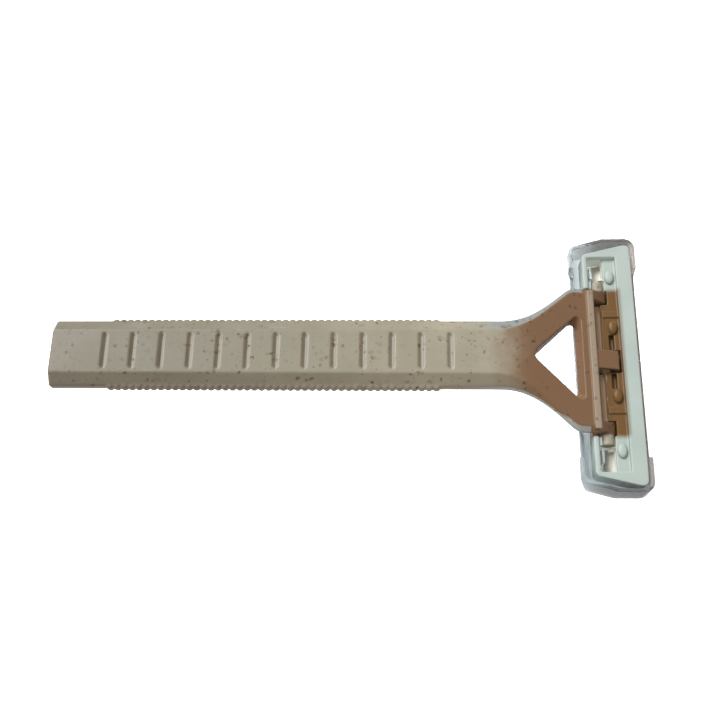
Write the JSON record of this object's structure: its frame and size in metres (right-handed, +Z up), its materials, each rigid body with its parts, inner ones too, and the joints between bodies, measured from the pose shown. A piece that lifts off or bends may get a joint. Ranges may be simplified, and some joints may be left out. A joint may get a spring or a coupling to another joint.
{
  "type": "disposable razor",
  "caption": "Twin-blade safety razor with a speckled moulded handle, a forked yoke, a sprung pivoting head and a clear push-on cap",
  "frame": {"origin": "under the middle of the whole part's box, on the plane it lies on", "axes": "+X from the tail of the handle to the head, +Y along the blades, +Z up from the surface"},
  "size_m": [0.0958, 0.043, 0.0083],
  "materials": {
    "straw_plastic": "speckled, satin",
    "white_plastic": "satin moulded",
    "spacer_plastic": "plain",
    "blade_steel": "rolled strip, ground edge",
    "strip_gel": "waxy",
    "clear_plastic": "clear, polished"
  },
  "bodies": {
    "handle": {"handle": "straw_plastic"},
    "cartridge": {"cartridge_seat": "white_plastic", "seat_blade": "blade_steel", "blade_spacer": "spacer_plastic", "cap_blade": "blade_steel", "cartridge_cap": "white_plastic", "lubricating_strip": "strip_gel"},
    "protective_cap": {"protective_cap": "clear_plastic"}
  },
  "joints": [
    {"name": "head_pivot", "type": "hinge", "parent": "handle", "child": "cartridge", "pos_m": [0.04125, 0, 0.0038], "axis": [0, 1, 0], "range_deg": [-15, 15], "stiffness_Nm_per_rad": 0.03},
    {"name": "cap_pull", "type": "slide", "parent": "cartridge", "child": "protective_cap", "axis": [0.0822, 0, -0.9966], "range_m": [0, 0.014]}
  ]
}
